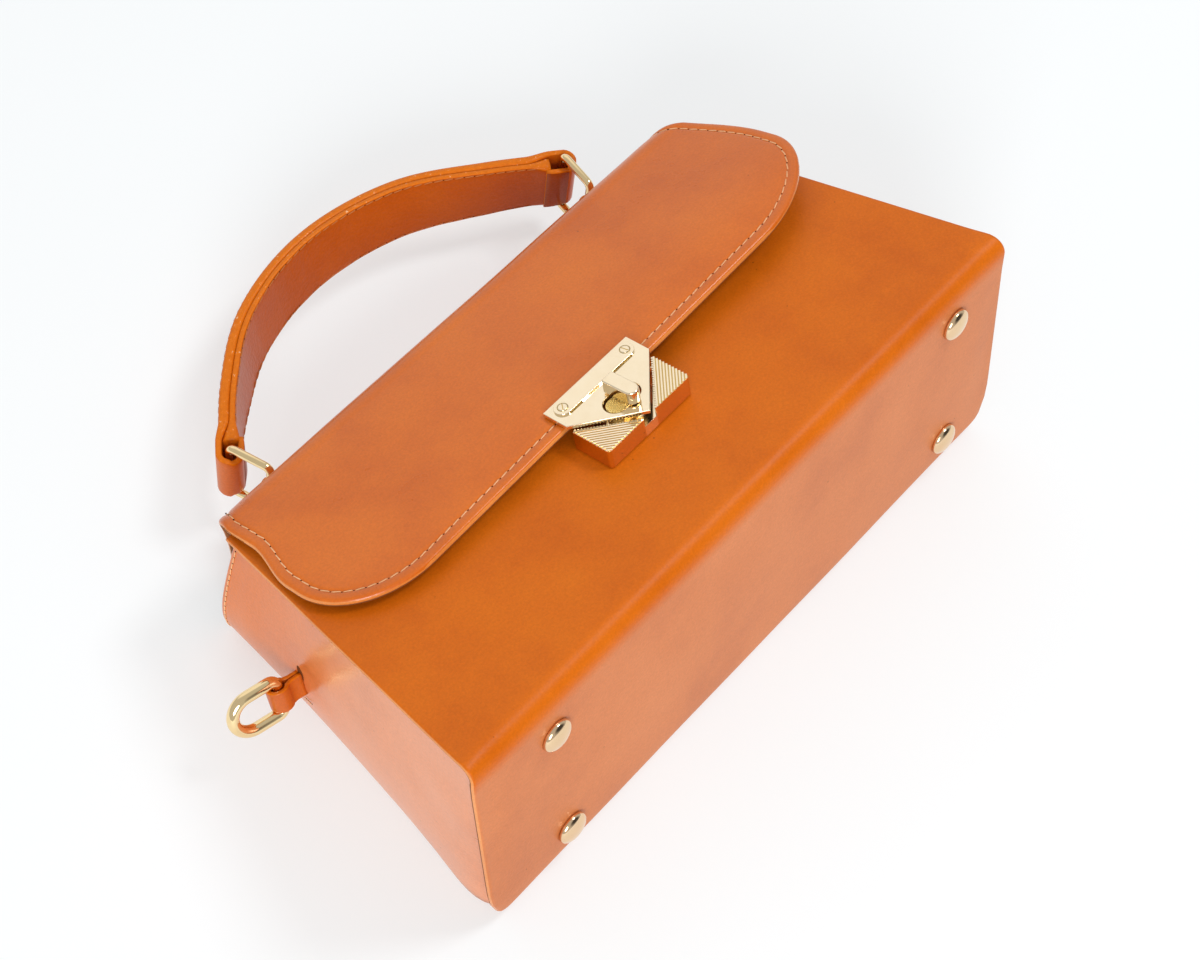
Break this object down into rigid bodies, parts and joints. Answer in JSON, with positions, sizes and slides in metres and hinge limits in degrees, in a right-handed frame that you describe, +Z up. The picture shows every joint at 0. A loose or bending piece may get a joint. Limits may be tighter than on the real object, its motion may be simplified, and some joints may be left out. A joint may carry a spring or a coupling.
{
  "type": "handbag",
  "caption": "Structured trapezoid leather handbag lying on its back, with a flap, a turn lock, a top handle on metal rings, side rings on leather tabs and domed feet.",
  "frame": {"origin": "middle of the flat back panel's outer face, on the surface the bag lies on", "axes": "+X along the width to the bag's right as it is worn facing the viewer, +Y from the base to the handle, +Z up from the back panel to the front"},
  "size_m": [0.2648, 0.1985, 0.0914],
  "materials": {
    "tan_leather": "smooth, semi-gloss",
    "pale_gold": "polished",
    "foot_metal": "polished"
  },
  "bodies": {
    "bag": {"body": "tan_leather", "gusset_left": "tan_leather", "gusset_right": "tan_leather", "flap": "tan_leather", "lock_plate": "pale_gold", "plate_screw_left": "pale_gold", "plate_screw_right": "pale_gold", "lock_box": "pale_gold", "handle": "tan_leather", "handle_ring_left": "pale_gold", "handle_ring_right": "pale_gold", "lid_tab_left": "tan_leather", "lid_tab_right": "tan_leather", "side_tab_left": "tan_leather", "side_tab_right": "tan_leather", "foot_front_left": "foot_metal", "foot_front_right": "foot_metal", "foot_back_left": "foot_metal", "foot_back_right": "foot_metal"},
    "knob": {"turn_knob": "pale_gold"},
    "left_ring": {"side_ring_left": "pale_gold"},
    "right_ring": {"side_ring_right": "pale_gold"}
  },
  "joints": [
    {"name": "knob_turn", "type": "hinge", "parent": "bag", "child": "knob", "pos_m": [0, -0.00206, 0.0753], "axis": [0, 0.299, 0.9542], "range_deg": [-2, 88]},
    {"name": "side_ring_left_swing", "type": "hinge", "parent": "bag", "child": "left_ring", "pos_m": [-0.1198, 0.02593, 0.026], "axis": [-0.0895, -0.4212, -0.9026], "range_deg": [-75, 75]},
    {"name": "side_ring_right_swing", "type": "hinge", "parent": "bag", "child": "right_ring", "pos_m": [0.1198, 0.02593, 0.026], "axis": [0.0895, -0.4212, -0.9026], "range_deg": [-15, 135]}
  ]
}
